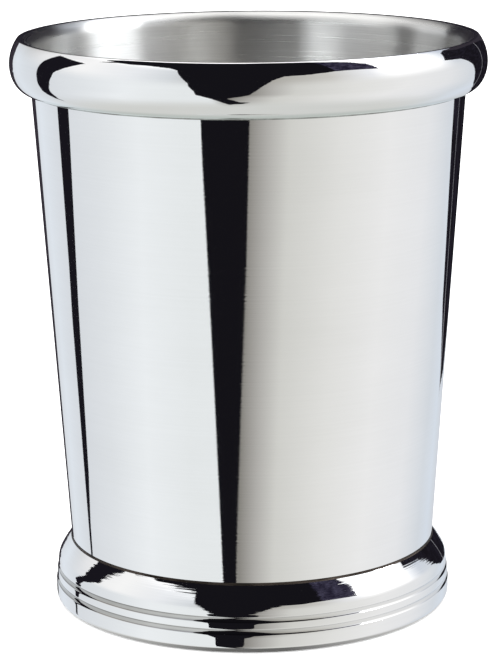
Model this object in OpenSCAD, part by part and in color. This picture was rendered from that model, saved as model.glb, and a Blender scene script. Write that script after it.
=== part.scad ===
// Julep cup: a tapered metal cup with a rolled rim band and a moulded foot ring, soldered together.
// Millimetres, +Z up. The origin is on the cup's axis, on the surface that the cup stands on.

/* [Cup] */
// Height from the table to the crest of the rim
cup_h = 101.6; // [92:0.1:112]
// Outside diameter of the wall's straight line where it would meet the table
wall_base_d = 64.0; // [56:0.1:74]
// Outside diameter of the wall's straight line where it would meet the crest's height
wall_mouth_d = 77.6; // [68:0.1:90]
// Thickness of the wall's sheet, measured level
wall_t = 0.9; // [0.6:0.05:1.4]
// Height of the floor's underside above the table
floor_recess = 3.2; // [2.2:0.1:6]
// Thickness of the floor disc
floor_t = 1.2; // [0.8:0.1:2.5]

/* [Rim band] */
// How far the crest's outer edge stands out from the wall's outside line
crest_stand = 1.6; // [1:0.1:2.4]
// How far the band's fullest point stands out from the crest's outer edge
crown_swell = 1.5; // [0.8:0.1:3]
// Height of the band from its lower seam to the crest
band_h = 9.3; // [7.8:0.1:13]
// Drop from the crest to the fullest point
crown_drop = 4.5; // [3.4:0.1:5.4]
// Thickness of the band's sheet
band_t = 0.8; // [0.5:0.05:1.1]
// Height of the lip that turns in from the crest to the wall
lip_h = 2.4; // [1.6:0.1:3]
// Width of the level land along the crest
crest_land = 0.35; // [0.2:0.05:0.6]

/* [Foot ring] */
// Height of the foot ring above the table
foot_h = 11.25; // [10.2:0.05:16]
// How far the foot's side, where the shoulder starts, stands out from the wall's line at the table
side_stand = 3.3; // [2.6:0.1:4]
// How far the foot's widest point, just above the table, stands out from its side at the shoulder
foot_flare = 0.45; // [0:0.05:2]
// Lean of the shoulder's slope from upright, in degrees
shoulder_lean = 34; // [25:1:50]
// Radius that turns the foot's side into the shoulder
shoulder_r = 3.2; // [1.5:0.1:4]
// Radius of the foot's rolled bottom edge
foot_edge_r = 1.2; // [0.6:0.1:1.8]
// Thickness of the foot's sheet
foot_t = 0.9; // [0.6:0.05:1.1]
// Width of the ledge that the foot's flange leaves inside the wall
flange_ledge = 1.2; // [0.8:0.1:3]
// Number of grooves turned round the foot
groove_count = 2; // [1:1:2]
// Height of the lowest groove's middle above the table
groove_z = 3.75; // [2.8:0.05:4]
// Spacing of the grooves
groove_pitch = 2.1; // [1.3:0.1:2.4]
// Width of a groove
groove_w = 1.0; // [0.6:0.05:1.2]
// Depth of a groove
groove_depth = 0.3; // [0.1:0.05:0.4]

/* [Solder] */
// Width of the solder in the seam under the rim band
rim_solder_w = 0.3; // [0.15:0.05:0.5]
// Width of the solder on top of the foot ring
foot_solder_w = 0.15; // [0.1:0.05:0.5]
// Height of the solder on top of the foot ring
foot_solder_h = 0.7; // [0.2:0.05:1.2]
// Leg of the fillet inside, between the floor and the wall
floor_solder_w = 1.2; // [0.6:0.1:1.6]
// Leg of the fillet underneath, between the foot's flange and the wall
base_solder_w = 0.9; // [0.5:0.1:1.2]
// Gap left for solder between leaning faces of two pieces
seam_gap = 0.05; // [0.02:0.01:0.1]

/* [Hidden] */
$fn = 96;
quarter_steps = 12;
fillet_steps = 6;

// The wall's lean, and its outside and inside radius at a height
wall_lean = (wall_mouth_d - wall_base_d) / 2 / cup_h;
function wall_out(z) = wall_base_d / 2 + wall_lean * z;
function wall_in(z) = wall_out(z) - wall_t;

// The rim band's heights and the radii where its curves start
seam_z = cup_h - band_h;
crown_z = cup_h - crown_drop;
seat_z = cup_h - lip_h;
crest_r = wall_mouth_d / 2 + crest_stand;
band_r = crest_r + crown_swell;
upper_r = (crown_drop * crown_drop + crown_swell * crown_swell) / (2 * crown_swell);
upper_turn = asin(crown_drop / upper_r);
under_r = wall_out(seam_z) + seam_gap + rim_solder_w;
under_swell = band_r - under_r;
under_drop = crown_z - seam_z;
// How far up the band's upper curve its hollow reaches, as a share
hollow_share = 0.7;

// The foot ring's side, shoulder and flange
side_r = wall_base_d / 2 + side_stand;
foot_r = side_r + foot_flare;
neck_r = wall_out(foot_h) + seam_gap + foot_solder_w;
slope_r = side_r - shoulder_r * (1 - cos(shoulder_lean));
slope_z = foot_h - (slope_r - neck_r) / tan(shoulder_lean);
turn_z = slope_z - shoulder_r * sin(shoulder_lean);
inner_turn_r = shoulder_r - foot_t;
inner_slope_r = side_r - shoulder_r + inner_turn_r * cos(shoulder_lean);
inner_slope_z = turn_z + inner_turn_r * sin(shoulder_lean);
inner_neck_z = (inner_slope_r + inner_slope_z * tan(shoulder_lean) - wall_out(0) - seam_gap)
    / (tan(shoulder_lean) + wall_lean);
flange_r = wall_in(foot_t) - flange_ledge;
groove_r = (groove_w * groove_w / 4 + groove_depth * groove_depth) / (2 * groove_depth);
floor_z = floor_recess + floor_t;

// The foot's outside radius on the side between the rolled edge and the shoulder
function side_at(z) = foot_r + (side_r - foot_r) * (z - foot_edge_r) / (turn_z - foot_edge_r);

// Points on an ellipse's arc, from one angle to another
function arc(c, a, b, from, to, steps) =
    [for (i = [0 : steps]) let (t = from + (to - from) * i / steps) c + [a * cos(t), b * sin(t)]];

// A concave fillet against the wall: leg w along the level face at z, and leg h along the wall.
// side is 1 outside the wall and -1 inside it; rise is 1 above the level face and -1 below it.
function fillet(z, w, h, side, rise) =
    [for (p = concat([[0, 0]], arc([w, h], w, h, 270, 180, fillet_steps)))
        let (level = z + rise * p[1], face = side > 0 ? wall_out(level) + seam_gap : wall_in(level) - seam_gap)
        [face + side * p[0], level]];

// The tapered wall, open at both ends
module cup_wall() {
    color("gainsboro") rotate_extrude() polygon([
        [wall_in(foot_t), foot_t],
        [wall_out(foot_t), foot_t],
        [wall_out(seat_z), seat_z],
        [wall_in(seat_z), seat_z]
    ]);
}

// The floor disc, set into the wall above its lower edge
module cup_floor() {
    color("lightgray") rotate_extrude() polygon([
        [0, floor_recess],
        [wall_in(floor_recess) - seam_gap, floor_recess],
        [wall_in(floor_z) - seam_gap, floor_z],
        [0, floor_z]
    ]);
}

// The hollow rim band: a rolled strip from the seam round the crown to the crest, and its turned-in lip,
// which is seated on the wall's upper edge
module rim_band() {
    lip_in = wall_in(seat_z);
    lip_top = crest_r - crest_land;
    hollow_seam = [wall_out(seam_z + band_t) + seam_gap, seam_z + band_t];
    crown_c = [under_r, crown_z];
    upper_c = [band_r - upper_r, crown_z];
    color("gainsboro") rotate_extrude() polygon(concat(
        [[wall_out(seam_z) + seam_gap, seam_z]],
        arc(crown_c, under_swell, under_drop, 270, 360, quarter_steps),
        arc(upper_c, upper_r, upper_r, upper_turn / quarter_steps, upper_turn, quarter_steps),
        arc([lip_top, seat_z], lip_top - lip_in, lip_h, 90, 180, quarter_steps),
        [[wall_out(seat_z), seat_z]],
        arc(upper_c, upper_r - band_t, upper_r - band_t, upper_turn * hollow_share, 0, quarter_steps),
        arc(crown_c, under_swell - band_t, under_drop - band_t, 360 - 90 / quarter_steps, 270, quarter_steps),
        [hollow_seam]
    ));
}

// The foot ring's section, a bent strip: flange, rolled edge, side and shoulder
module foot_section() {
    turn_c = [side_r - shoulder_r, turn_z];
    polygon(concat(
        [[flange_r, 0]],
        arc([foot_r - foot_edge_r, foot_edge_r], foot_edge_r, foot_edge_r, 270, 360, quarter_steps),
        arc(turn_c, shoulder_r, shoulder_r, 0, shoulder_lean, quarter_steps),
        [[neck_r, foot_h], [wall_out(foot_h) + seam_gap, foot_h], [wall_out(inner_neck_z) + seam_gap, inner_neck_z]],
        arc(turn_c, inner_turn_r, inner_turn_r, shoulder_lean, 0, quarter_steps),
        [[foot_r - foot_t, foot_edge_r], [foot_r - foot_edge_r, foot_t], [flange_r, foot_t]]
    ));
}

// The foot ring with its turned grooves
module foot_ring() {
    color("gainsboro") rotate_extrude() difference() {
        foot_section();
        for (i = [0 : groove_count - 1]) {
            z = groove_z + i * groove_pitch;
            translate([side_at(z) + groove_r - groove_depth, z]) circle(r = groove_r);
        }
    }
}

// The solder that fills the seam under the rim band
module rim_solder() {
    color("dimgray") rotate_extrude() polygon(fillet(seam_z, rim_solder_w, rim_solder_w, 1, -1));
}

// The solder line on top of the foot ring
module foot_solder() {
    color("dimgray") rotate_extrude() polygon(fillet(foot_h, foot_solder_w, foot_solder_h, 1, 1));
}

// The fillet inside, between the floor and the wall
module floor_solder() {
    color("darkgray") rotate_extrude() polygon(fillet(floor_z, floor_solder_w, floor_solder_w, -1, 1));
}

// The fillet underneath, between the foot's flange and the wall
module base_solder() {
    color("dimgray") rotate_extrude() polygon(fillet(foot_t, base_solder_w, base_solder_w, -1, 1));
}

cup_wall();
cup_floor();
rim_band();
foot_ring();
rim_solder();
foot_solder();
floor_solder();
base_solder();
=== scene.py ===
"""Julep cup, dressed for its portrait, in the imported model's frame.

A mirror-polished tapered wall, satin inside, carries a rolled rim band and stands in a moulded foot ring.
Lengths are named in millimetres and become metres where a mesh or a finish is made. Directions round the cup
are azimuths: 0 points from the cup to the camera's side (-Y), and positive ones turn to the right (+X).
"""
import logging
import math
from collections.abc import Sequence
from dataclasses import dataclass, field
from enum import Enum

import bmesh
import bpy
from mathutils import Matrix, Vector
from mathutils.geometry import tessellate_polygon


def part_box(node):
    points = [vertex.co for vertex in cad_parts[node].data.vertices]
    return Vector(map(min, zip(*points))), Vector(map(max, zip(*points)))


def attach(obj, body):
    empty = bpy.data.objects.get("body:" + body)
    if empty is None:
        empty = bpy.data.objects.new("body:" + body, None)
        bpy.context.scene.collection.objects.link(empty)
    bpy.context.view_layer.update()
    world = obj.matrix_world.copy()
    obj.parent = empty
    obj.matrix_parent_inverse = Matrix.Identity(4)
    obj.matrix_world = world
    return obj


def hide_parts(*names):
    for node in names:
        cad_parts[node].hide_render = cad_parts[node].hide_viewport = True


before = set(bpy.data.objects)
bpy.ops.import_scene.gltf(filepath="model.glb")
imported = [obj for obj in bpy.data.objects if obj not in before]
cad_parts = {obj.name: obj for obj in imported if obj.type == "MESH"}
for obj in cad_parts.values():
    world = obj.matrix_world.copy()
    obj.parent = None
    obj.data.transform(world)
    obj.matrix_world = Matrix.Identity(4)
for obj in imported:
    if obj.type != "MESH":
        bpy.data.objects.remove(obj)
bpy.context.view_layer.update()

MM = 0.001
BODY = "root"

log = logging.getLogger("julep_cup")

Point = tuple[float, float]
Color = tuple[float, float, float]
Stop = tuple[float, Color]
Cells = tuple[float, float, float]
Inputs = dict[str | int, object]
Material = bpy.types.Material
Socket = bpy.types.NodeSocket

WHITE: Color = (1.0, 1.0, 1.0)


class Slot(Enum):
    """The record's material slots."""

    WALL = "polished_wall"
    FLOOR = "satin_floor"
    RIM = "polished_rim"
    FOOT = "polished_foot"
    SOLDER = "solder"
    INSIDE_SOLDER = "inside_solder"


class Side(Enum):
    """The side of the wall that a solder line lies on, as the sign of its width."""

    OUTSIDE = 1
    INSIDE = -1


class Rise(Enum):
    """The way that a solder line runs from its level face, as the sign of its height."""

    UP = 1
    DOWN = -1


class Ray(Enum):
    """A kind of ray, by the setting that lets it meet an object."""

    CAMERA = "visible_camera"
    DIFFUSE = "visible_diffuse"
    GLOSSY = "visible_glossy"
    SHADOW = "visible_shadow"


# Sections


def node_top(name: str) -> float:
    """Gives the height of a CAD node's top, in millimetres."""
    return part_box(name)[1][2] / MM


def node_bottom(name: str) -> float:
    """Gives the height of a CAD node's underside, in millimetres."""
    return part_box(name)[0][2] / MM


def node_radius(name: str) -> float:
    """Gives a CAD node's outside radius, in millimetres."""
    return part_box(name)[1][0] / MM


def arc(center: Point, width: float, height: float, start: float, end: float, steps: int) -> list[Point]:
    """Samples an arc of an ellipse.

    Args:
        center: The ellipse's centre, as radius and height.
        width: The half-axis along the radius.
        height: The half-axis along the height.
        start: The angle of the first point, in degrees.
        end: The angle of the last point, in degrees.
        steps: How many steps the arc is cut into.

    Returns:
        The points, both ends included.
    """
    angles = [math.radians(start + (end - start) * i / steps) for i in range(steps + 1)]
    return [(center[0] + width * math.cos(a), center[1] + height * math.sin(a)) for a in angles]


def line(start: Point, end: Point, steps: int) -> list[Point]:
    """Samples a straight line, without its first point.

    Args:
        start: Where the line starts.
        end: Where it ends.
        steps: How many steps it is cut into.

    Returns:
        The points after the start.
    """
    return [
        (start[0] + (end[0] - start[0]) * i / steps, start[1] + (end[1] - start[1]) * i / steps)
        for i in range(1, steps + 1)
    ]


def eased(before: Point, corner: Point, after: Point, size: float, steps: int = 4) -> list[Point]:
    """Rounds a corner of a section with a curve that is tangent to both of its sides.

    Args:
        before: The point before the corner.
        corner: The corner itself.
        after: The point after the corner.
        size: How far along each side the rounding starts.
        steps: How many steps the rounding is cut into.

    Returns:
        The rounding's points, from the side before to the side after.
    """
    middle = Vector(corner)
    first = middle + (Vector(before) - middle).normalized() * size
    last = middle + (Vector(after) - middle).normalized() * size
    shares = [i / steps for i in range(steps + 1)]
    points = [first * (1 - t) ** 2 + middle * 2 * t * (1 - t) + last * t**2 for t in shares]
    return [(p.x, p.y) for p in points]


@dataclass(frozen=True)
class Taper:
    """The straight taper of the wall, which every other piece is set against."""

    sheet: float = 0.9
    base_radius: float = 32.0
    mouth_radius: float = 38.8
    height: float = field(default_factory=lambda: node_top("rim_band"))
    gap: float = 0.05

    @property
    def lean(self) -> float:
        """How much the radius grows with each millimetre of height."""
        return (self.mouth_radius - self.base_radius) / self.height

    def outside(self, z: float) -> float:
        """Gives the wall's outside radius at a height."""
        return self.base_radius + self.lean * z

    def inside(self, z: float) -> float:
        """Gives the wall's inside radius at a height."""
        return self.outside(z) - self.sheet

    def seam(self, z: float, side: Side = Side.OUTSIDE) -> float:
        """Gives the radius at a height of what is soldered to one side of the wall, past the seam's gap."""
        return self.outside(z) + self.gap if side is Side.OUTSIDE else self.inside(z) - self.gap


# Node trees


def opaque(color: Color) -> tuple[float, float, float, float]:
    """Gives a colour the full alpha that a node's socket asks for."""
    return (*color, 1.0)


class NodeBoard:
    """A short hand for adding and joining the nodes of one tree."""

    NOISE_SPAN = (0.3, 0.7)

    def __init__(self, tree: bpy.types.NodeTree) -> None:
        """Starts on an empty tree.

        Args:
            tree: The tree that the nodes go in.
        """
        self.tree = tree
        tree.nodes.clear()

    def add(self, kind: str, inputs: Inputs | None = None, **settings: object) -> bpy.types.Node:
        """Adds a node, sets it and joins what is given to its inputs.

        Args:
            kind: The node's type.
            inputs: Values or output sockets, by input name or number.
            **settings: The node's own properties.

        Returns:
            The new node.
        """
        node = self.tree.nodes.new(kind)
        for name, value in settings.items():
            setattr(node, name, value)
        for key, value in (inputs or {}).items():
            if isinstance(value, bpy.types.NodeSocket):
                self.tree.links.new(value, node.inputs[key])
            else:
                node.inputs[key].default_value = value
        return node

    def math(self, operation: str, *values: object) -> Socket:
        """Adds a Math node.

        Args:
            operation: What the node works out.
            *values: Numbers or output sockets, in order.

        Returns:
            The node's result.
        """
        return self.add("ShaderNodeMath", dict(enumerate(values)), operation=operation).outputs[0]

    def parts(self, vector: Socket) -> bpy.types.bpy_prop_collection:
        """Splits a vector into sockets named X, Y and Z."""
        return self.add("ShaderNodeSeparateXYZ", {0: vector}).outputs

    def over_span(self, value: Socket, span: Point, ends: Point = (0.0, 1.0), **settings: object) -> Socket:
        """Passes from one number to another while a value crosses a span.

        Args:
            value: The value that is read.
            span: The values at which the passage starts and ends.
            ends: The result before the span and the result past it.
            **settings: The node's own properties.

        Returns:
            The result.
        """
        node = self.add("ShaderNodeMapRange", {
            "Value": value,
            "From Min": span[0],
            "From Max": span[1],
            "To Min": ends[0],
            "To Max": ends[1],
        }, **settings)
        return node.outputs["Result"]

    def ramp(self, fac: Socket, stops: Sequence[Stop]) -> Socket:
        """Adds a Color Ramp.

        Args:
            fac: What the ramp reads.
            stops: Places from 0 to 1 and their colours.

        Returns:
            The ramp's colour socket.
        """
        node = self.add("ShaderNodeValToRGB", {"Fac": fac})
        elements = node.color_ramp.elements
        while len(elements) > 1:
            elements.remove(elements[-1])
        elements[0].position = stops[0][0]
        elements[0].color = opaque(stops[0][1])
        for place, color in stops[1:]:
            elements.new(place).color = opaque(color)
        return node.outputs["Color"]

    def blend(self, share: object, first: object, second: object, kind: str = "MIX") -> Socket:
        """Mixes two colours.

        Args:
            share: The second colour's share.
            first: The first colour, or its socket.
            second: The second colour, or its socket.
            kind: How the second colour goes onto the first.

        Returns:
            The mixed colour.
        """
        inputs = {0: share, 6: first, 7: second}
        return self.add("ShaderNodeMix", inputs, data_type="RGBA", blend_type=kind).outputs[2]

    def object_place(self) -> Socket:
        """Adds Object coordinates, which on every piece are metres from the cup's origin."""
        return self.add("ShaderNodeTexCoord").outputs["Object"]

    def noise(self, vector: Socket, detail: float, roughness: float) -> Socket:
        """Adds noise with one cell to a unit of the vector.

        Args:
            vector: Where the noise is read.
            detail: The noise's detail.
            roughness: The noise's roughness.

        Returns:
            The noise's value.
        """
        inputs = {"Vector": vector, "Scale": 1.0, "Detail": detail, "Roughness": roughness}
        return self.add("ShaderNodeTexNoise", inputs).outputs["Fac"]

    def grain(self, cells: Cells, detail: float, roughness: float) -> Socket:
        """Adds noise that is stretched along the cup's own axes.

        Args:
            cells: How many noise cells there are in a metre, along X, Y and Z.
            detail: The noise's detail.
            roughness: The noise's roughness.

        Returns:
            The noise's value.
        """
        inputs = {"Vector": self.object_place(), "Scale": cells}
        return self.noise(self.add("ShaderNodeMapping", inputs).outputs["Vector"], detail, roughness)

    def rings(self, around: float, across: float, detail: float, roughness: float) -> Socket:
        """Adds noise in circles about the cup's axis, for a level face.

        Args:
            around: How many noise cells there are in a metre of the face.
            across: How many rings there are in a metre of radius.
            detail: The noise's detail.
            roughness: The noise's roughness.

        Returns:
            The noise's value.
        """
        flattened = {0: self.object_place(), 1: (1.0, 1.0, 0.0)}
        level = self.add("ShaderNodeVectorMath", flattened, operation="MULTIPLY").outputs[0]
        radius = self.add("ShaderNodeVectorMath", {0: level}, operation="LENGTH").outputs["Value"]
        parts = self.parts(level)
        vector = self.add("ShaderNodeCombineXYZ", {
            "X": self.math("MULTIPLY", parts["X"], around),
            "Y": self.math("MULTIPLY", parts["Y"], around),
            "Z": self.math("MULTIPLY", radius, across),
        })
        return self.noise(vector.outputs[0], detail, roughness)

    def spread(self, noise: Socket, low: float, high: float) -> Socket:
        """Spreads a noise value, which keeps near its middle, over a range.

        Args:
            noise: The noise's value.
            low: The result where the noise is low.
            high: The result where the noise is high.

        Returns:
            The spread value.
        """
        return self.over_span(noise, self.NOISE_SPAN, (low, high))

    def bump(self, relief: Socket, height: float, under: Socket | None = None) -> Socket:
        """Raises a surface.

        Args:
            relief: The relief, from 0 to 1.
            height: The height of the relief where it is 1, in millimetres.
            under: The normal of another relief that this one lies on.

        Returns:
            The new normal.
        """
        inputs = {"Height": relief, "Distance": height * MM, "Strength": 1.0}
        if under:
            inputs["Normal"] = under
        return self.add("ShaderNodeBump", inputs).outputs[0]

    def surface(self, shader: bpy.types.Node) -> None:
        """Gives the material's surface its shader."""
        self.add("ShaderNodeOutputMaterial", {"Surface": shader.outputs[0]})


def new_material(name: str) -> tuple[Material, NodeBoard]:
    """Makes a material with no nodes.

    Args:
        name: The material's name.

    Returns:
        The material, and the board that its nodes go on.
    """
    made = bpy.data.materials.new(name)
    made.use_nodes = True
    return made, NodeBoard(made.node_tree)


# Finishes


@dataclass(frozen=True)
class MirrorFinish:
    """Polished metal, with faint turning lines, wipe marks and a slight unevenness of the sheet.

    Cells are numbers of noise cells in a metre. The lines have their full height between the two heights of
    lined, or everywhere. Painted seam shade and groove darkening are there only where their heights are
    given.
    """

    name: str
    bright: Color = (0.98, 0.98, 0.98)
    dull: Color = (0.94, 0.94, 0.937)
    gloss: Point = (0.015, 0.04)
    smudge_cells: Cells = (28.0, 28.0, 60.0)
    smudge_share: float = 0.75
    wave_cells: Cells = (22.0, 22.0, 70.0)
    wave_height: float = 0.01
    line_cells: float = 30.0
    line_pitch: float = 0.35
    line_height: float = 0.003
    lined: Point | None = None
    line_fade: float = 0.8
    faded_share: float = 0.04
    # Painted shade that darkens the band just above its seam
    seam_height: float | None = None
    painted_shade_reach: Point = (0.25, 1.0)
    seam_painted_shade: Color = (0.72, 0.79, 0.77)
    # Darkening in the grooves, darkest near their lips
    groove_dark_heights: tuple[float, ...] = ()
    groove_dark_reach: float = 0.5
    groove_dark_sides: Point = (-20.0, 20.0)
    groove_dark_shares: Point = (1.0, 0.2)
    groove_dark_cells: Cells = (90.0, 90.0, 200.0)
    groove_dark_patches: Point = (0.75, 1.0)
    groove_dark_tones: tuple[Stop, ...] = (
        (0.0, (0.52, 0.51, 0.48)),
        (0.5, (0.44, 0.43, 0.4)),
        (0.66, (0.16, 0.15, 0.14)),
        (0.8, (0.2, 0.19, 0.18)),
        (1.0, WHITE),
    )

    def material(self) -> Material:
        """Builds the material.

        Returns:
            The material.
        """
        made, board = new_material(self.name)
        smudge = board.grain(self.smudge_cells, detail=5.0, roughness=0.6)
        line_cells = (self.line_cells, self.line_cells, 1.0 / (self.line_pitch * MM))
        lines = board.grain(line_cells, detail=3.0, roughness=0.55)
        board.surface(board.add("ShaderNodeBsdfPrincipled", {
            "Base Color": self.color(board, smudge, lines),
            "Metallic": 1.0,
            "Roughness": board.spread(smudge, *self.gloss),
            "Normal": self.relief(board, lines),
        }))
        return made

    def color(self, board: NodeBoard, smudge: Socket, lines: Socket) -> Socket:
        """Colours the metal, with any darkening in its grooves and any painted shade above its seam.

        Args:
            board: The material's board.
            smudge: The wipe marks.
            lines: The turning lines.

        Returns:
            The colour.
        """
        marks = board.math("MULTIPLY", smudge, self.smudge_share)
        traces = board.math("MULTIPLY", lines, 1.0 - self.smudge_share)
        color = board.ramp(board.math("ADD", marks, traces), [(0.36, self.bright), (0.66, self.dull)])
        # Darkens the metal in the grooves, where their heights are given.
        if self.groove_dark_heights:
            color = self.with_dark_grooves(board, color)
        # Painted shade: darkens the band just above its seam.
        if self.seam_height is not None:
            low, high = (self.seam_height + reach for reach in self.painted_shade_reach)
            shade = board.ramp(self.by_height(board, (low, high)), [(0.0, self.seam_painted_shade), (1.0, WHITE)])
            color = board.blend(1.0, color, shade, "MULTIPLY")
        return color

    def relief(self, board: NodeBoard, lines: Socket) -> Socket:
        """Gives the sheet its slight waves and its turning lines, which fade outside the lined heights.

        Args:
            board: The material's board.
            lines: The turning lines.

        Returns:
            The normal.
        """
        waves = board.grain(self.wave_cells, detail=1.0, roughness=0.4)
        if self.lined:
            start, end = self.lined
            grown = self.by_height(board, (start, start + self.line_fade), (self.faded_share, 1.0))
            faded = self.by_height(board, (end - self.line_fade, end), (1.0, self.faded_share))
            lines = board.math("MULTIPLY", lines, board.math("MINIMUM", grown, faded))
        return board.bump(lines, self.line_height, board.bump(waves, self.wave_height))

    def with_dark_grooves(self, board: NodeBoard, color: Socket) -> Socket:
        """Darkens the metal in its grooves, darkest near their lips, in patches and mostly on the left.

        Args:
            board: The material's board.
            color: The metal's colour before its grooves are darkened.

        Returns:
            The colour with the grooves darkened.
        """
        place = board.parts(board.object_place())
        height = board.math("DIVIDE", place["Z"], MM)
        above = [board.math("SUBTRACT", height, groove) for groove in self.groove_dark_heights]
        away = [board.math("ABSOLUTE", distance) for distance in above]
        nearest = board.math("DIVIDE", board.math("MINIMUM", *away), self.groove_dark_reach)
        left, right = (side * MM for side in self.groove_dark_sides)
        share = board.over_span(place["X"], (left, right), self.groove_dark_shares)
        patches = board.spread(board.grain(self.groove_dark_cells, detail=3.0, roughness=0.6), *self.groove_dark_patches)
        amount = board.math("MULTIPLY", share, patches)
        return board.blend(amount, color, board.ramp(nearest, self.groove_dark_tones), "MULTIPLY")

    @staticmethod
    def by_height(board: NodeBoard, heights: Point, ends: Point = (0.0, 1.0)) -> Socket:
        """Passes from one number to another between two heights.

        Args:
            board: The material's board.
            heights: The lower and the upper height, in millimetres.
            ends: The result below the lower height and above the upper one.

        Returns:
            The result.
        """
        low, high = (height * MM for height in heights)
        return board.over_span(board.parts(board.object_place())["Z"], (low, high), ends)


@dataclass(frozen=True)
class SatinFinish:
    """Turned satin metal: fine circular lines that blur a reflection along the wall but not round it.

    Cells are numbers of noise cells in a metre round the cup, of the lines and of the bands that they lie in.
    """

    name: str
    level: bool = False
    bright: Color = (0.87, 0.865, 0.85)
    dull: Color = (0.75, 0.745, 0.73)
    gloss: Point = (0.25, 0.34)
    anisotropy: float = 1.0
    line_pitch: float = 0.16
    line_height: float = 0.005
    line_share: float = 0.6
    band_pitches: float = 9.0
    upright_cells: Point = (55.0, 30.0)
    level_cells: Point = (60.0, 25.0)

    def material(self) -> Material:
        """Builds the material.

        Returns:
            The material.
        """
        made, board = new_material(self.name)
        pitch = 1.0 / (self.line_pitch * MM)
        if self.level:
            line_cells, band_cells = self.level_cells
            lines = board.rings(line_cells, pitch, detail=4.0, roughness=0.6)
            bands = board.rings(band_cells, pitch / self.band_pitches, detail=2.0, roughness=0.5)
        else:
            line_cells, band_cells = self.upright_cells
            lines = board.grain((line_cells, line_cells, pitch), detail=4.0, roughness=0.6)
            bands = board.grain(
                (band_cells, band_cells, pitch / self.band_pitches), detail=2.0, roughness=0.5
            )
        fine = board.math("MULTIPLY", lines, self.line_share)
        coarse = board.math("MULTIPLY", bands, 1.0 - self.line_share)
        both = board.math("ADD", fine, coarse)
        board.surface(board.add("ShaderNodeBsdfPrincipled", {
            "Base Color": board.ramp(both, [(0.32, self.dull), (0.62, self.bright)]),
            "Metallic": 1.0,
            "Roughness": board.spread(both, self.gloss[1], self.gloss[0]),
            "Anisotropic": self.anisotropy,
            "Anisotropic Rotation": 0.25,
            "Tangent": board.add("ShaderNodeTangent", direction_type="RADIAL", axis="Z").outputs[0],
            "Normal": board.bump(both, self.line_height),
        }))
        return made


@dataclass(frozen=True)
class SolderFinish:
    """Dull soft solder, mottled where it ran and was wiped."""

    name: str
    light: Color = (0.13, 0.105, 0.09)
    dark: Color = (0.03, 0.024, 0.02)
    gloss: Point = (0.45, 0.6)
    run_cells: Cells = (240.0, 240.0, 900.0)
    pit_cells: Cells = (1800.0, 1800.0, 2600.0)
    pit_height: float = 0.03

    def material(self) -> Material:
        """Builds the material.

        Returns:
            The material.
        """
        made, board = new_material(self.name)
        runs = board.grain(self.run_cells, detail=5.0, roughness=0.6)
        pits = board.grain(self.pit_cells, detail=3.0, roughness=0.5)
        board.surface(board.add("ShaderNodeBsdfPrincipled", {
            "Base Color": board.ramp(runs, [(0.35, self.dark), (0.68, self.light)]),
            "Metallic": 1.0,
            "Roughness": board.spread(pits, *self.gloss),
            "Normal": board.bump(pits, self.pit_height),
        }))
        return made


# The lathe


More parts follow.
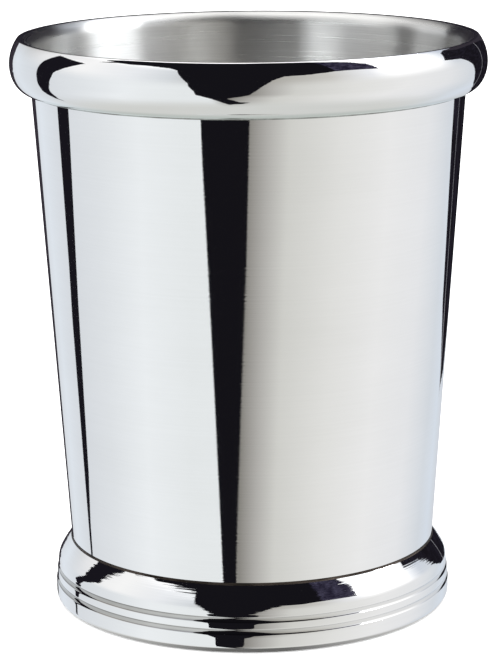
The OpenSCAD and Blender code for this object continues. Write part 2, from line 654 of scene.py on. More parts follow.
class Lathe:
    """Turns a section round the cup's axis with Geometry Nodes, as a lathe turns the metal."""

    STEPS = "Steps round"
    CLOSED = "Closed section"
    CREASE = "Crease angle"
    FINISH = "Finish"
    SECOND = "Second finish"
    MARK = "second_finish"
    # Points that lie closer than this, in metres, become one
    MERGE_REACH = 1e-7
    # A face reads 1 where all its points are marked, and clearly less where one of them isn't
    FULLY_MARKED = 0.9

    def __init__(self) -> None:
        """Builds the tree that every turned piece shares."""
        self.tree = bpy.data.node_groups.new("Turned piece", "GeometryNodeTree")
        self.sockets: dict[str, str] = {}
        face = self.tree.interface
        face.new_socket("Section", in_out="INPUT", socket_type="NodeSocketGeometry")
        for name, kind in (
            (self.STEPS, "NodeSocketInt"),
            (self.CLOSED, "NodeSocketBool"),
            (self.CREASE, "NodeSocketFloat"),
            (self.FINISH, "NodeSocketMaterial"),
            (self.SECOND, "NodeSocketMaterial"),
        ):
            self.sockets[name] = face.new_socket(name, in_out="INPUT", socket_type=kind).identifier
        face.new_socket("Piece", in_out="OUTPUT", socket_type="NodeSocketGeometry")
        board = NodeBoard(self.tree)
        given = board.add("NodeGroupInput").outputs
        bent = self._bend(board, given)
        sharpened = self._sharpen(board, bent, given[self.CREASE])
        dressed = self._dress(board, sharpened, given[self.FINISH], given[self.SECOND])
        board.add("NodeGroupOutput", {0: dressed})

    def _bend(self, board: NodeBoard, given: bpy.types.bpy_prop_collection) -> Socket:
        """Bends a grid, whose columns are copies of the section, round the axis and closes it.

        Args:
            board: The tree's board.
            given: The tree's inputs.

        Returns:
            The turned mesh, with the section's marks on its points.
        """
        section, steps = given["Section"], given[self.STEPS]
        count = board.add("GeometryNodeAttributeDomainSize", {0: section}).outputs["Point Count"]
        rows = self._whole(board, "ADD", count, given[self.CLOSED])
        columns = self._whole(board, "ADD", steps, 1)
        grid = board.add("GeometryNodeMeshGrid", {"Vertices X": columns, "Vertices Y": rows}).outputs["Mesh"]
        index = board.add("GeometryNodeInputIndex").outputs[0]
        along = self._whole(board, "MODULO", self._whole(board, "MODULO", index, rows), count)
        around = self._whole(board, "DIVIDE_FLOOR", index, rows)
        angle = board.math("DIVIDE", board.math("MULTIPLY", around, math.tau), steps)
        here = board.add("GeometryNodeInputPosition").outputs[0]
        point = board.parts(self._at_point(board, section, along, here, "FLOAT_VECTOR"))
        place = board.add("ShaderNodeCombineXYZ", {
            "X": board.math("MULTIPLY", point["X"], board.math("COSINE", angle)),
            "Y": board.math("MULTIPLY", point["X"], board.math("SINE", angle)),
            "Z": point["Z"],
        }).outputs[0]
        bent = board.add("GeometryNodeSetPosition", {"Geometry": grid, "Position": place}).outputs[0]
        mark = self._at_point(board, section, along, self._mark(board), "FLOAT")
        inputs = {"Geometry": bent, "Name": self.MARK, "Value": mark}
        marked = board.add("GeometryNodeStoreNamedAttribute", inputs, data_type="FLOAT", domain="POINT")
        inputs = {"Geometry": marked.outputs[0], "Distance": self.MERGE_REACH}
        return board.add("GeometryNodeMergeByDistance", inputs).outputs[0]

    @staticmethod
    def _sharpen(board: NodeBoard, turned: Socket, crease: Socket) -> Socket:
        """Smooths the faces, and keeps the edges sharp where they bend by more than the crease angle.

        Args:
            board: The tree's board.
            turned: The turned mesh.
            crease: The crease angle.

        Returns:
            The smoothed mesh.
        """
        inputs = {"Geometry": turned, "Shade Smooth": True}
        smooth = board.add("GeometryNodeSetShadeSmooth", inputs).outputs[0]
        bend = board.add("GeometryNodeInputMeshEdgeAngle").outputs["Unsigned Angle"]
        creased = board.add("FunctionNodeCompare", {0: bend, 1: crease}, operation="GREATER_THAN").outputs[0]
        inputs = {"Geometry": smooth, "Selection": creased, "Shade Smooth": False}
        return board.add("GeometryNodeSetShadeSmooth", inputs, domain="EDGE").outputs[0]

    def _dress(self, board: NodeBoard, turned: Socket, finish: Socket, second: Socket) -> Socket:
        """Realizes the mesh and gives it its finish, and the second one where every point is marked.

        Args:
            board: The tree's board.
            turned: The turned mesh.
            finish: The piece's finish.
            second: The marked faces' finish.

        Returns:
            The dressed mesh.
        """
        solid = board.add("GeometryNodeRealizeInstances", {"Geometry": turned}).outputs[0]
        inputs = {"Geometry": solid, "Material": finish}
        dressed = board.add("GeometryNodeSetMaterial", inputs).outputs[0]
        inputs = {0: self._mark(board), 1: self.FULLY_MARKED}
        marked = board.add("FunctionNodeCompare", inputs, operation="GREATER_THAN").outputs[0]
        inputs = {"Geometry": dressed, "Selection": marked, "Material": second}
        return board.add("GeometryNodeSetMaterial", inputs).outputs[0]

    def _mark(self, board: NodeBoard) -> Socket:
        """Reads the mark that picks the second finish."""
        return board.add("GeometryNodeInputNamedAttribute", {"Name": self.MARK}, data_type="FLOAT").outputs[0]

    @staticmethod
    def _at_point(board: NodeBoard, section: Socket, index: Socket, value: Socket, kind: str) -> Socket:
        """Reads a value at one of the section's points.

        Args:
            board: The tree's board.
            section: The section.
            index: The point's number.
            value: The value that is read.
            kind: The value's data type.

        Returns:
            The value at that point.
        """
        inputs = {"Geometry": section, "Index": index, "Value": value}
        return board.add("GeometryNodeSampleIndex", inputs, data_type=kind).outputs[0]

    @staticmethod
    def _whole(board: NodeBoard, operation: str, first: object, second: object) -> Socket:
        """Adds an Integer Math node.

        Args:
            board: The tree's board.
            operation: What the node works out.
            first: The first number or socket.
            second: The second number or socket.

        Returns:
            The node's result.
        """
        return board.add("FunctionNodeIntegerMath", {0: first, 1: second}, operation=operation).outputs[0]

    def turn(
        self,
        name: str,
        section: list[Point],
        finish: Material,
        second: Material | None = None,
        second_points: set[int] | None = None,
        closed: bool = True,
        steps: int = 288,
        crease: float = 32.0,
    ) -> bpy.types.Object:
        """Turns one piece.

        Args:
            name: The piece's name.
            section: Radius and height of the section's points in millimetres, counter-clockwise.
            finish: The piece's finish.
            second: The finish of the faces whose points are all in second_points.
            second_points: Numbers of the section's points that have the second finish.
            closed: Whether the section's last point joins its first. An open one starts and ends on the axis.
            steps: How many steps the turn is cut into.
            crease: The angle between faces, in degrees, past which their edge stays sharp.

        Returns:
            The piece, as a plain mesh at the origin.
        """
        mesh = bpy.data.meshes.new(name + "_section")
        mesh.from_pydata([(r * MM, 0.0, z * MM) for r, z in section], [], [])
        chosen = second_points or set()
        marks = mesh.attributes.new(self.MARK, "FLOAT", "POINT")
        marks.data.foreach_set("value", [1.0 if i in chosen else 0.0 for i in range(len(section))])
        blank = bpy.data.objects.new(name + "_blank", mesh)
        bpy.context.scene.collection.objects.link(blank)
        modifier = blank.modifiers.new("Lathe", "NODES")
        modifier.node_group = self.tree
        for label, value in (
            (self.STEPS, steps),
            (self.CLOSED, closed),
            (self.CREASE, math.radians(crease)),
            (self.FINISH, finish),
            (self.SECOND, second or finish),
        ):
            modifier[self.sockets[label]] = value
        depsgraph = bpy.context.evaluated_depsgraph_get()
        depsgraph.update()
        turned = bpy.data.meshes.new_from_object(blank.evaluated_get(depsgraph))
        turned.name = name
        bpy.data.objects.remove(blank)
        piece = bpy.data.objects.new(name, turned)
        bpy.context.scene.collection.objects.link(piece)
        return piece


def settle(piece: bpy.types.Object, node: str) -> None:
    """Puts a finished piece in the frame in place of its CAD node, and reports it.

    Args:
        piece: The finished piece.
        node: The CAD node that it stands for.
    """
    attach(piece, BODY)
    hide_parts(node)
    log.info("%s: %d faces, for %s", piece.name, len(piece.data.polygons), node)


# The cup's pieces


@dataclass(frozen=True)
class CupWall:
    """The tapered sheet wall: polished outside, satin inside."""

    taper: Taper
    bottom: float = field(default_factory=lambda: node_bottom("cup_wall"))
    top: float = field(default_factory=lambda: node_top("cup_wall"))
    easing: float = 0.12
    rows: int = 24

    def section(self) -> tuple[list[Point], set[int]]:
        """Draws the wall's section.

        Returns:
            The section's points, and the numbers of those on the satin inside.
        """
        low_in, top_in = ((self.taper.inside(z), z) for z in (self.bottom, self.top))
        low_out, top_out = ((self.taper.outside(z), z) for z in (self.bottom, self.top))
        inner_edge = eased(top_in, low_in, low_out, self.easing)
        outer_edge = eased(low_in, low_out, top_out, self.easing)
        outside = line(outer_edge[-1], top_out, self.rows)
        inside = line(top_in, inner_edge[0], self.rows)[:-1]
        points = inner_edge + outer_edge + outside + [top_in] + inside
        first_satin = len(points) - len(inside) - 1
        return points, {0, *range(first_satin, len(points))}

    def build(self, lathe: Lathe, polished: Material, satin: Material) -> None:
        """Turns the wall and puts it in place.

        Args:
            lathe: The lathe that turns it.
            polished: The outside's finish.
            satin: The inside's finish.
        """
        points, inside = self.section()
        settle(lathe.turn("tapered_wall", points, polished, satin, inside), "cup_wall")


@dataclass(frozen=True)
class CupFloor:
    """The floor disc inside, turned satin with a slight centre mark."""

    taper: Taper
    bottom: float = field(default_factory=lambda: node_bottom("cup_floor"))
    top: float = field(default_factory=lambda: node_top("cup_floor"))
    easing: float = 0.15
    dimple_radius: float = 1.1
    dimple_depth: float = 0.18
    dimple_steps: int = 6
    rows: int = 14

    def dimple(self) -> list[Point]:
        """Draws the centre mark.

        Returns:
            The points from its rim to the axis.
        """
        shares = [1 - i / self.dimple_steps for i in range(self.dimple_steps + 1)]
        depths = [self.dimple_depth * (0.5 + 0.5 * math.cos(math.pi * share)) for share in shares]
        return [(self.dimple_radius * share, self.top - depth) for share, depth in zip(shares, depths)]

    def section(self) -> list[Point]:
        """Draws the floor's section.

        Returns:
            The points, from the axis underneath out and back to the axis on top.
        """
        low, high = ((self.taper.seam(z, Side.INSIDE), z) for z in (self.bottom, self.top))
        under = eased((0.0, self.bottom), low, high, self.easing)
        over = eased(low, high, (0.0, self.top), self.easing)
        dimple = self.dimple()
        bottom = [(0.0, self.bottom), *line((0.0, self.bottom), under[0], self.rows)]
        return bottom[:-1] + under + over + line(over[-1], dimple[0], self.rows)[:-1] + dimple

    def build(self, lathe: Lathe, satin: Material) -> None:
        """Turns the floor and puts it in place.

        Args:
            lathe: The lathe that turns it.
            satin: Its finish.
        """
        settle(lathe.turn("floor_disc", self.section(), satin, closed=False), "cup_floor")


@dataclass(frozen=True)
class RimBand:
    """The hollow rolled band round the mouth, with its turned-in lip."""

    taper: Taper
    seam: float = field(default_factory=lambda: node_bottom("rim_band"))
    crest: float = field(default_factory=lambda: node_top("rim_band"))
    radius: float = field(default_factory=lambda: node_radius("rim_band"))
    crest_radius: float = 40.4
    drop: float = 4.5
    sheet: float = 0.8
    lip: float = 2.4
    land: float = 0.35
    seam_width: float = 0.3
    hollow_share: float = 0.7
    crest_easing: float = 0.14
    polished_steps: int = 6
    fine: int = 34
    coarse: int = 12

    def lip_curve(self) -> list[Point]:
        """Draws the lip, which meets the wall's inside tangent.

        Returns:
            The points from the crest's land down to the wall.
        """
        lean = math.atan(self.taper.lean)
        top = self.crest_radius - self.land
        width = (top - self.taper.inside(self.crest - self.lip)) / math.cos(lean)
        height = self.lip / (1 - math.sin(lean))
        return arc((top, self.crest - height), width, height, 90, 180 - math.degrees(lean), self.fine)

    def section(self) -> tuple[list[Point], set[int]]:
        """Draws the band's section.

        Returns:
            The section's points, and the numbers of those on the satin lip.
        """
        wall, swell = self.taper, self.radius - self.crest_radius
        crown, seat = self.crest - self.drop, self.crest - self.lip
        upper = (self.drop**2 + swell**2) / (2 * swell)
        turn = math.degrees(math.asin(self.drop / upper))
        under_radius = wall.seam(self.seam) + self.seam_width
        under, fall = self.radius - under_radius, crown - self.seam
        low, high = (under_radius, crown), (self.radius - upper, crown)
        outer = arc(low, under, fall, 270, 360, self.fine) + arc(high, upper, upper, 0, turn, self.fine)[1:]
        lip = self.lip_curve()
        edge = eased(outer[-2], outer[-1], lip[0], self.crest_easing)
        hollow = arc(high, upper - self.sheet, upper - self.sheet, turn * self.hollow_share, 0, self.coarse)
        hollow += arc(low, under - self.sheet, fall - self.sheet, 360, 270, self.coarse)[1:]
        foot, inner_seam = ((wall.seam(z), z) for z in (self.seam, self.seam + self.sheet))
        head = [foot, *outer[:-1], *edge[1:], *lip]
        satin = set(range(len(outer) + len(edge) - 1 + self.polished_steps, len(head)))
        return [*head, (wall.outside(seat), seat), *hollow, inner_seam], satin

    def build(self, lathe: Lathe, polished: Material, satin: Material) -> None:
        """Turns the band and puts it in place.

        Args:
            lathe: The lathe that turns it.
            polished: The band's finish.
            satin: The turned-in lip's finish.
        """
        points, lip = self.section()
        settle(lathe.turn("rolled_rim", points, polished, satin, lip), "rim_band")


@dataclass(frozen=True)
class FootRing:
    """The hollow moulded foot: flange, rolled edge, side with its grooves, shoulder and slope."""

    taper: Taper
    height: float = field(default_factory=lambda: node_top("foot_ring"))
    radius: float = field(default_factory=lambda: node_radius("foot_ring"))
    side_radius: float = 35.3
    lean: float = 34.0
    slope_round: float = 3.5
    shoulder: float = 3.2
    edge: float = 1.2
    sheet: float = 0.9
    ledge: float = 1.2
    solder_width: float = 0.15
    groove_heights: tuple[float, ...] = (3.75, 5.85)
    groove_width: float = 1.0
    groove_depth: float = 0.14
    groove_lip: float = 0.12
    band_radii: tuple[Point, ...] = ((35.72, 35.75), (35.58, 35.53), (35.36, 35.3))
    lower_band_rows: int = 5
    top_band_rows: int = 3
    fine: int = 30
    coarse: int = 12

    @property
    def neck_radius(self) -> float:
        """The radius where the slope meets the solder."""
        return self.taper.seam(self.height) + self.solder_width

    @property
    def turn_height(self) -> float:
        """Works out where the side turns into the shoulder.

        Returns:
            The height.
        """
        lean = math.radians(self.lean)
        slope_radius = self.side_radius - self.shoulder * (1 - math.cos(lean))
        slope_height = self.height - (slope_radius - self.neck_radius) / math.tan(lean)
        return slope_height - self.shoulder * math.sin(lean)

    def groove(self, below: Point, start: Point, end: Point, above: Point) -> list[Point]:
        """Gives a groove's points, from its lower lip to its upper one.

        Args:
            below: A point of the band below the groove.
            start: The groove's lower edge.
            end: The groove's upper edge.
            above: A point of the band above the groove.

        Returns:
            The points, with the groove's lips eased.
        """
        first, last = Vector(start), Vector(end)
        half, depth = (last - first).length / 2, self.groove_depth
        radius = (half**2 + depth**2) / (2 * depth)
        reach = math.degrees(math.asin(half / radius))
        along = (last - first).normalized()
        middle = (first + last) / 2 + Vector((along.y, -along.x)) * (radius - depth)
        tilt = math.degrees(math.atan2(-along.x, along.y))
        cut = arc((middle.x, middle.y), radius, radius, 180 + tilt + reach, 180 + tilt - reach, self.coarse)
        lower = eased(below, cut[0], cut[1], self.groove_lip, steps=3)
        upper = eased(cut[-2], cut[-1], above, self.groove_lip, steps=3)
        return lower + cut[1:-1] + upper

    def grooved_side(self) -> list[Point]:
        """Draws the side's bands and the grooves between them.

        Returns:
            The points between the rolled edge and the shoulder.
        """
        half = self.groove_width / 2
        edges = [z + step for z in self.groove_heights for step in (-half, half)]
        radii = [radius for pair in self.band_radii for radius in pair]
        corners = list(zip(radii, [self.edge, *edges, self.turn_height]))
        points = corners[:1]
        for i in range(1, len(edges), 2):
            groove = self.groove(*corners[i - 1:i + 3])
            points += line(points[-1], groove[0], self.lower_band_rows)[:-1] + groove
        return points[1:] + line(points[-1], corners[-1], self.top_band_rows)[:-1]

    def shoulder_curve(self) -> list[Point]:
        """Draws the shoulder and the slope above it, which is very slightly rounded.

        Returns:
            The points from the side to the solder.
        """
        start, end = (self.side_radius, self.turn_height), (self.neck_radius, self.height)
        low, high = math.radians(self.lean - self.slope_round), math.radians(self.lean + self.slope_round)
        fall, rise = math.cos(low) - math.cos(high), math.sin(high) - math.sin(low)
        bend_fall, bend_rise = 1 - math.cos(low), math.sin(low)
        run, climb = start[0] - end[0], end[1] - start[1]
        bend = (run * rise - climb * fall) / (bend_fall * rise - bend_rise * fall)
        slope = (climb - bend * bend_rise) / rise
        shoulder = arc((start[0] - bend, start[1]), bend, bend, 0, math.degrees(low), self.fine)
        center = (shoulder[-1][0] - slope * math.cos(low), shoulder[-1][1] - slope * math.sin(low))
        return shoulder + arc(center, slope, slope, math.degrees(low), math.degrees(high), self.fine)[1:]

    def hollow(self) -> list[Point]:
        """Draws the ring's inside.

        Returns:
            The points along the seam and inside the sheet, down to the rolled edge.
        """
        lean, bend = math.radians(self.lean), self.shoulder - self.sheet
        center = (self.side_radius - self.shoulder, self.turn_height)
        slope_radius, slope_height = center[0] + bend * math.cos(lean), center[1] + bend * math.sin(lean)
        reach = slope_radius + slope_height * math.tan(lean) - self.taper.seam(0)
        inner_neck = reach / (math.tan(lean) + self.taper.lean)
        seam = [(self.taper.seam(z), z) for z in (self.height, inner_neck)]
        turned = arc(center, bend, bend, self.lean, 0, self.coarse)
        return [*seam, *turned, (self.radius - self.sheet, self.edge)]

    def section(self) -> list[Point]:
        """Draws the ring's section.

        Returns:
            The section's points.
        """
        flange = self.taper.inside(self.sheet) - self.ledge
        rolled = self.band_radii[0][0] - self.edge
        bottom = arc((rolled, self.edge), self.edge, self.edge, 270, 360, self.fine)
        points = [(flange, 0.0), *bottom, *self.grooved_side(), *self.shoulder_curve(), *self.hollow()]
        return [*points, (rolled, self.sheet), (flange, self.sheet)]

    def build(self, lathe: Lathe, polished: Material) -> None:
        """Turns the foot and puts it in place.

        Args:
            lathe: The lathe that turns it.
            polished: Its finish.
        """
        settle(lathe.turn("moulded_foot", self.section(), polished), "foot_ring")


@dataclass(frozen=True)
class SolderLine:
    """A line of solder along the wall, with a hollowed face between its two legs."""

    taper: Taper
    name: str
    node: str
    slot: Slot
    side: Side
    level: float
    width: float
    height: float
    rise: Rise = Rise.UP
    steps: int = 8
    crease: float = 50.0

    def section(self) -> list[Point]:
        """Draws the line's section.

        Returns:
            The section's points, counter-clockwise.
        """
        out_sign, up_sign = self.side.value, self.rise.value
        curve = arc((self.width, self.height), self.width, self.height, 270, 180, self.steps)
        points = []
        for out, up in [(0.0, 0.0), *curve]:
            z = self.level + up_sign * up
            points.append((self.taper.seam(z, self.side) + out_sign * out, z))
        return points if out_sign * up_sign > 0 else points[::-1]

    def build(self, lathe: Lathe, solder: Material) -> None:
        """Turns the line and puts it in place.

        Args:
            lathe: The lathe that turns it.
            solder: Its finish.
        """
        settle(lathe.turn(self.name, self.section(), solder, crease=self.crease), self.node)


# The studio


def studio_piece(name: str, form: bmesh.types.BMesh, material: Material, unseen_by: Sequence[Ray]) -> None:
    """Makes a piece of the studio, which isn't part of the cup.

    Args:
        name: The piece's name.
        form: Its form, which is freed.
        material: Its material.
        unseen_by: The rays that pass through it.
    """
    mesh = bpy.data.meshes.new(name)
    form.to_mesh(mesh)
    form.free()
    mesh.materials.append(material)
    piece = bpy.data.objects.new(name, mesh)
    for ray in unseen_by:
        setattr(piece, ray.value, False)
    bpy.context.scene.collection.objects.link(piece)
    log.info("%s: part of the studio", name)


def round_card(half_width: float, half_depth: float, level: float, steps: int) -> bmesh.types.BMesh:
    """Cuts a level round or oval card about the cup's axis.

    Args:
        half_width: Half the card's size along X, in millimetres.
        half_depth: Half its size along Y, in millimetres.
        level: Its height, in millimetres.
        steps: How many sides it has.

    Returns:
        The card's form.
    """
    card = bmesh.new()
    bmesh.ops.create_circle(card, cap_ends=True, radius=1.0, segments=steps)
    bmesh.ops.scale(card, verts=card.verts[:], vec=(half_width * MM, half_depth * MM, 1.0))
    bmesh.ops.translate(card, verts=card.verts[:], vec=(0.0, 0.0, level * MM))
    return card


@dataclass(frozen=True)
class TentPatch:
    """A dark gap or a bright window of the tent, which only reflections see.

    Its corners are azimuths and elevations in degrees, on a sphere about the point of the cup's axis that is
    eye_height above the table. The shade is how bright it is, where 1 is white.
    """

    name: str
    corners: tuple[Point, ...]
    shade: Color
    wisps: Color | None = None
    distance: float = 8000.0
    eye_height: float = 50.0
    splits: int = 3
    fold_cells: Cells = (14.0, 14.0, 60.0)

    def build(self) -> None:
        """Hangs the patch as part of its sphere."""
        outline = [Vector((azimuth, elevation, 0.0)) for azimuth, elevation in self.corners]
        cloth = bmesh.new()
        verts = [cloth.verts.new(corner) for corner in outline]
        for corners in tessellate_polygon([outline]):
            cloth.faces.new([verts[i] for i in corners])
        for _ in range(self.splits):
            bmesh.ops.subdivide_edges(cloth, edges=cloth.edges[:], cuts=1, use_grid_fill=True)
        for vert in cloth.verts:
            azimuth, elevation = math.radians(vert.co.x), math.radians(vert.co.y)
            level = math.cos(elevation)
            outward = Vector((math.sin(azimuth) * level, -math.cos(azimuth) * level, math.sin(elevation)))
            vert.co = outward * (self.distance * MM) + Vector((0.0, 0.0, self.eye_height * MM))
        studio_piece(self.name, cloth, self.material(), (Ray.CAMERA, Ray.DIFFUSE))

    def material(self) -> Material:
        """Builds the patch's plain shade, with faint folds where it has wisps.

        Returns:
            The material.
        """
        made, board = new_material(self.name)
        color = opaque(self.shade)
        if self.wisps:
            cells = tuple(number / (self.distance * MM) for number in self.fold_cells)
            folds = board.grain(cells, detail=6.0, roughness=0.7)
            color = board.ramp(folds, [(0.45, self.shade), (0.85, self.wisps)])
        board.surface(board.add("ShaderNodeEmission", {"Color": color, "Strength": 1.0}))
        return made


FRONT_DARK: Color = (0.007, 0.0065, 0.009)
BACK_DARK: Color = (0.035, 0.03, 0.04)

TENT_PATCHES = (
    TentPatch("front_gap", (
        (-90, 38), (-84, 45), (-60, 50), (-30, 60), (0, 73), (20, 79), (40, 77), (47, 70), (46, 34),
        (26, 29.5), (17.5, 28.5), (11.5, 20), (6.5, 6), (0.5, -15.5), (-2, -19), (-10.5, -26), (-9, -29),
        (-4.5, -37), (1, -38), (-3, -42), (-11, -45), (-18, -27), (-25, -16), (-25.5, -6), (-28, 5),
        (-28.5, 12), (-34, 27.5), (-41, 45), (-60, 46), (-80, 43),
    ), shade=FRONT_DARK),
    TentPatch("front_gap_top", (
        (-82, 47), (-78, 56), (-60, 62), (-30, 65), (10, 68), (10, 44), (-36, 44), (-42, 48), (-60, 49),
    ), shade=FRONT_DARK, distance=300.0),
    TentPatch("front_gap_end", (
        (47, 70), (56, 57), (65, 51), (70, 42), (69.5, 29.5), (60, 32), (46, 34),
    ), shade=(0.012, 0.01, 0.022), wisps=(0.16, 0.15, 0.24)),
    TentPatch("left_gap", (
        (-108.5, 36.5), (-111.5, 23.5), (-113, 2), (-116.5, -11.5), (-118, -14), (-120, -26), (-119.5, -31),
        (-117, -25), (-114, -22.5), (-109.5, -13.5), (-104, -4.5), (-99.5, 8.5), (-98.5, 14.5), (-95, 20.5),
        (-86, 36.5),
    ), shade=(0.009, 0.008, 0.012), distance=300.0),
    TentPatch("right_gap", (
        (114.5, 30), (108.5, 20.5), (121.5, 14), (130.5, 3.5), (136.5, -8), (142.5, -13.5), (152, -16),
        (160, -15), (166, -12.5), (170, -8), (169, -3), (157, 7), (147, 14), (137, 20), (127, 24.5),
        (119, 31),
    ), shade=(0.008, 0.007, 0.01), wisps=(0.03, 0.027, 0.045), distance=700.0),
    TentPatch("gap_edge_light", (
        (145.5, 15), (146, 15), (146, -8), (148, -12.5), (152, -16), (151, -16.5), (147.5, -13), (145.5, -8),
    ), shade=(0.3, 0.3, 0.33), distance=690.0),
    TentPatch("back_gap", (
        (185, 24), (191, 17), (192, 6), (192, -7), (206.5, -8), (204, -11), (197, -19), (190, -22),
        (183, -19), (178, -12), (172, -8), (160, -3), (150, 6), (135, 14), (122, 26), (122, 29), (165, 32),
    ), shade=BACK_DARK),
    TentPatch("rim_end_gap", (
        (198, 29), (201, 25), (207, 19.5), (211.5, 15.5), (214, 12), (214.5, 2.5), (211.5, 0.5), (198, 0),
    ), shade=BACK_DARK, distance=300.0),
    TentPatch("back_card", (
        (160, 16), (188, 15), (194, 6), (211, 6), (211, 26), (204, 36), (180, 45), (160, 39),
    ), shade=(0.02, 0.018, 0.025), distance=170.0),
    TentPatch("side_window", (
        (71, 31), (88, 29.5), (88, 37), (71, 37),
    ), shade=(20, 20.8, 21.6)),
    TentPatch("side_window_end", (
        (88, 29.5), (108, 28), (108, 37), (88, 37),
    ), shade=(23, 24, 25)),
    TentPatch("side_window_top", (
        (71, 37), (108, 37), (108, 64), (56, 62), (60, 57.5), (67, 52), (71, 43),
    ), shade=(1.7, 1.75, 1.8)),
)


@dataclass(frozen=True)
class SoftLight:
    """The light tent: plain white to the camera and on dull things, and soft tones in reflections.

    The tones change with the azimuth in two belts, low and high, between one tone under them and one above.
    The low belt's tones lean sideways where a ray points steeply down. Heights are a ray's own, from -1 to 1,
    and fill is how bright the tent is for dull things.
    """

    fill: float = 2.2
    low: tuple[Stop, ...] = (
        (-180, (0.6, 0.61, 0.63)),
        (-145, (0.75, 0.8, 0.86)),
        (-120, (0.69, 0.72, 0.76)),
        (-90, (0.75, 0.78, 0.81)),
        (-60, (0.85, 0.88, 0.9)),
        (-30, (0.8, 0.83, 0.84)),
        (-10, (0.8, 0.83, 0.84)),
        (-3, (0.25, 0.24, 0.22)),
        (0, (0.25, 0.24, 0.22)),
        (10, (0.44, 0.43, 0.41)),
        (22, (0.64, 0.64, 0.61)),
        (50, (0.76, 0.76, 0.74)),
        (80, (0.84, 0.84, 0.84)),
        (110, (0.8, 0.81, 0.83)),
        (135, (0.67, 0.71, 0.76)),
        (150, (0.68, 0.74, 0.82)),
        (180, (0.6, 0.61, 0.63)),
    )
    high: tuple[Stop, ...] = (
        (-180, (0.3, 0.28, 0.26)),
        (-160, (0.5, 0.49, 0.48)),
        (-140, (0.6, 0.6, 0.6)),
        (-125, (0.82, 0.82, 0.83)),
        (-90, (0.95, 0.95, 0.95)),
        (-60, (0.84, 0.86, 0.89)),
        (-40, (0.69, 0.72, 0.75)),
        (0, (0.35, 0.33, 0.3)),
        (20, (0.47, 0.46, 0.43)),
        (40, (0.58, 0.57, 0.54)),
        (62, (0.86, 0.87, 0.9)),
        (75, (1.3, 1.3, 1.3)),
        (105, (1.3, 1.3, 1.3)),
        (120, (0.6, 0.65, 0.74)),
        (165, (0.55, 0.57, 0.63)),
        (180, (0.3, 0.28, 0.26)),
    )
    under: Color = (0.64, 0.65, 0.63)
    top: Color = (1.6, 1.6, 1.6)
    lean_from: float = -0.27
    lean: float = 54.0
    lean_most: float = 9.0
    low_to_under: Point = (-0.45, -0.85)
    low_to_high: Point = (0.02, 0.4)
    high_to_top: Point = (0.6, 0.9)

    def build(self) -> None:
        """Builds the world."""
        world = bpy.data.worlds.new("light_tent")
        bpy.context.scene.world = world
        world.use_nodes = True
        world.cycles.sampling_method = "NONE"
        board = NodeBoard(world.node_tree)
        path = board.add("ShaderNodeLightPath").outputs
        shown = board.blend(path["Is Glossy Ray"], opaque(WHITE), self.tones(board))
        strength = board.math("ADD", board.math("MULTIPLY", path["Is Diffuse Ray"], self.fill - 1.0), 1.0)
        light = board.add("ShaderNodeBackground", {"Color": shown, "Strength": strength})
        board.add("ShaderNodeOutputWorld", {"Surface": light.outputs[0]})

    def tones(self, board: NodeBoard) -> Socket:
        """Lays out the tones that reflections see.

        Args:
            board: The world's board.

        Returns:
            The tone that a ray meets.
        """
        ray = board.parts(board.add("ShaderNodeTexCoord").outputs["Generated"])
        azimuth = board.math("ARCTAN2", ray["X"], board.math("MULTIPLY", ray["Y"], -1.0))
        turn = board.math("ADD", board.math("DIVIDE", azimuth, math.tau), 0.5)
        drop = board.math("MAXIMUM", board.math("SUBTRACT", self.lean_from, ray["Z"]), 0.0)
        lean = board.math("MINIMUM", board.math("MULTIPLY", drop, self.lean), self.lean_most)
        leaned = board.math("ADD", turn, board.math("DIVIDE", lean, 360.0))
        under, middle, over = (
            board.over_span(ray["Z"], span, interpolation_type="SMOOTHSTEP")
            for span in (self.low_to_under, self.low_to_high, self.high_to_top)
        )
        low, high = self.belt(board, leaned, self.low), self.belt(board, turn, self.high)
        sides = board.blend(middle, board.blend(under, low, opaque(self.under)), high)
        return board.blend(over, sides, opaque(self.top))

    @staticmethod
    def belt(board: NodeBoard, turn: Socket, stops: Sequence[Stop]) -> Socket:
        """Lays one belt of tones round the cup.

        Args:
            board: The world's board.
            turn: A ray's azimuth as a share of a turn, which is 0.5 on the camera's side.
            stops: Azimuths in degrees and their tones.

        Returns:
            The belt's tone at that azimuth.
        """
        return board.ramp(turn, [((azimuth + 180) / 360, tone) for azimuth, tone in stops])


@dataclass(frozen=True)
class ContactShade:
    """The dark under the cup, which the rolled bottom edge reflects."""

    half_width: float = 35.0
    half_depth: float = 36.6
    level: float = -0.05
    sides: Color = (0.6, 0.6, 0.59)
    middle: Color = (0.14, 0.14, 0.135)
    reach: float = 30.0
    steps: int = 128

    def build(self) -> None:
        """Lays the shade just under the cup."""
        made, board = new_material("contact_shade")
        reach = self.reach * MM
        across = board.over_span(board.parts(board.object_place())["X"], (-reach, reach))
        stops = [(0.0, self.sides), (0.4, self.middle), (0.6, self.middle), (1.0, self.sides)]
        board.surface(board.add("ShaderNodeEmission", {"Color": board.ramp(across, stops), "Strength": 1.0}))
        card = round_card(self.half_width, self.half_depth, self.level, self.steps)
        studio_piece("contact_shade", card, made, (Ray.CAMERA, Ray.DIFFUSE, Ray.SHADOW))


@dataclass(frozen=True)
class Tabletop:
    """The plain pale floor, a wide disc that reflections don't see."""

    radius: float = 6000.0
    color: Color = (0.9, 0.9, 0.9)
    steps: int = 96

    def build(self) -> None:
        """Lays the floor at the height that the cup stands on."""
        made, board = new_material("pale_floor")
        board.surface(board.add("ShaderNodeBsdfDiffuse", {"Color": opaque(self.color)}))
        studio_piece("tabletop", round_card(self.radius, self.radius, 0.0, self.steps), made, (Ray.GLOSSY,))


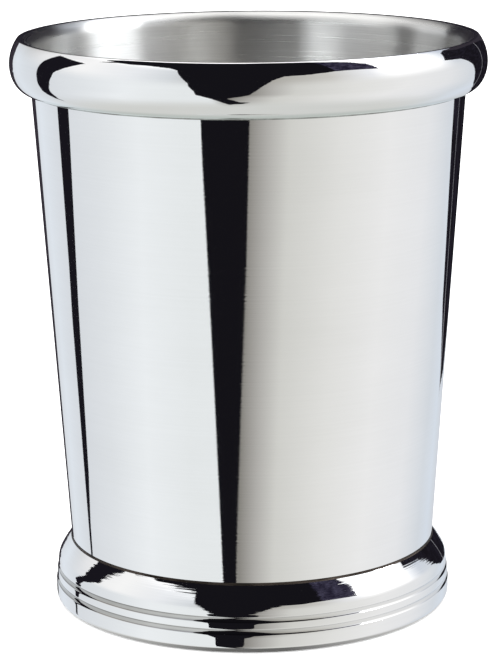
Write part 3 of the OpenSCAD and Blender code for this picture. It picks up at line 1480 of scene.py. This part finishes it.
@dataclass(frozen=True)
class Portrait:
    """The camera at the photograph's place. Distance is from the cup's axis, and angles are in degrees."""

    distance: float = 464.44
    height: float = 153.93
    pitch: float = 12.831
    yaw: float = -0.011
    roll: float = -0.449
    lens: float = 143.79
    sensor: float = 36.0
    clip: Point = (10.0, 100000.0)

    def build(self) -> None:
        """Stands the camera and makes it the scene's."""
        data = bpy.data.cameras.new("portrait")
        data.lens, data.sensor_width, data.sensor_fit = self.lens, self.sensor, "AUTO"
        data.clip_start, data.clip_end = (distance * MM for distance in self.clip)
        camera = bpy.data.objects.new("portrait", data)
        pitch, yaw, roll = (math.radians(angle) for angle in (self.pitch, self.yaw, self.roll))
        forward = Vector((
            math.sin(yaw) * math.cos(pitch),
            math.cos(yaw) * math.cos(pitch),
            -math.sin(pitch),
        ))
        level = Vector((math.cos(yaw), -math.sin(yaw), 0.0))
        upright = level.cross(forward)
        right = level * math.cos(roll) + upright * math.sin(roll)
        up = upright * math.cos(roll) - level * math.sin(roll)
        camera.matrix_world = Matrix.LocRotScale(
            Vector((0.0, -self.distance, self.height)) * MM,
            Matrix((right, up, -forward)).transposed(),
            None,
        )
        bpy.context.scene.collection.objects.link(camera)
        bpy.context.scene.camera = camera
        bpy.context.scene.view_settings.view_transform = "Standard"


def main() -> None:
    """Builds the cup's pieces in the order of its making, then the studio, and reports each piece."""
    logging.basicConfig(level=logging.INFO, format="%(name)s: %(message)s")
    lathe, taper = Lathe(), Taper()
    wall, floor, rim, foot = CupWall(taper), CupFloor(taper), RimBand(taper), FootRing(taper)
    satin = SatinFinish("satin_inside").material()
    solder = SolderFinish("brown_solder").material()
    bright_solder = SolderFinish(
        "bright_solder", light=(0.62, 0.66, 0.64), dark=(0.3, 0.3, 0.29), gloss=(0.15, 0.3)
    ).material()
    dressed_solder = SolderFinish(
        "dressed_solder", light=(0.72, 0.72, 0.7), dark=(0.5, 0.5, 0.48), gloss=(0.28, 0.42)
    ).material()

    wall.build(lathe, MirrorFinish("mirror_wall").material(), satin)
    floor.build(lathe, SatinFinish("satin_floor", level=True, anisotropy=0.0).material())
    # The rim's finish has painted shade just above its seam.
    rim.build(lathe, MirrorFinish("mirror_rim", seam_height=rim.seam).material(), satin)
    foot.build(lathe, MirrorFinish(
        "mirror_foot",
        line_pitch=0.4,
        line_height=0.02,
        lined=(6.5, foot.height),
        # The foot's grooves are darkened.
        groove_dark_heights=foot.groove_heights,
    ).material())
    SolderLine(
        taper, "rim_solder_line", "rim_solder", Slot.SOLDER, Side.OUTSIDE,
        level=rim.seam, width=rim.seam_width, height=0.3, rise=Rise.DOWN,
    ).build(lathe, bright_solder)
    SolderLine(
        taper, "foot_solder_line", "foot_solder", Slot.SOLDER, Side.OUTSIDE,
        level=foot.height, width=foot.solder_width, height=0.42,
    ).build(lathe, solder)
    SolderLine(
        taper, "floor_solder_fillet", "floor_solder", Slot.INSIDE_SOLDER, Side.INSIDE,
        level=floor.top, width=1.2, height=1.2,
    ).build(lathe, dressed_solder)
    SolderLine(
        taper, "base_solder_fillet", "base_solder", Slot.SOLDER, Side.INSIDE,
        level=foot.sheet, width=0.9, height=0.9,
    ).build(lathe, solder)

    for patch in TENT_PATCHES:
        patch.build()
    SoftLight().build()
    Tabletop().build()
    ContactShade().build()
    Portrait().build()


if __name__ == "__main__":
    main()
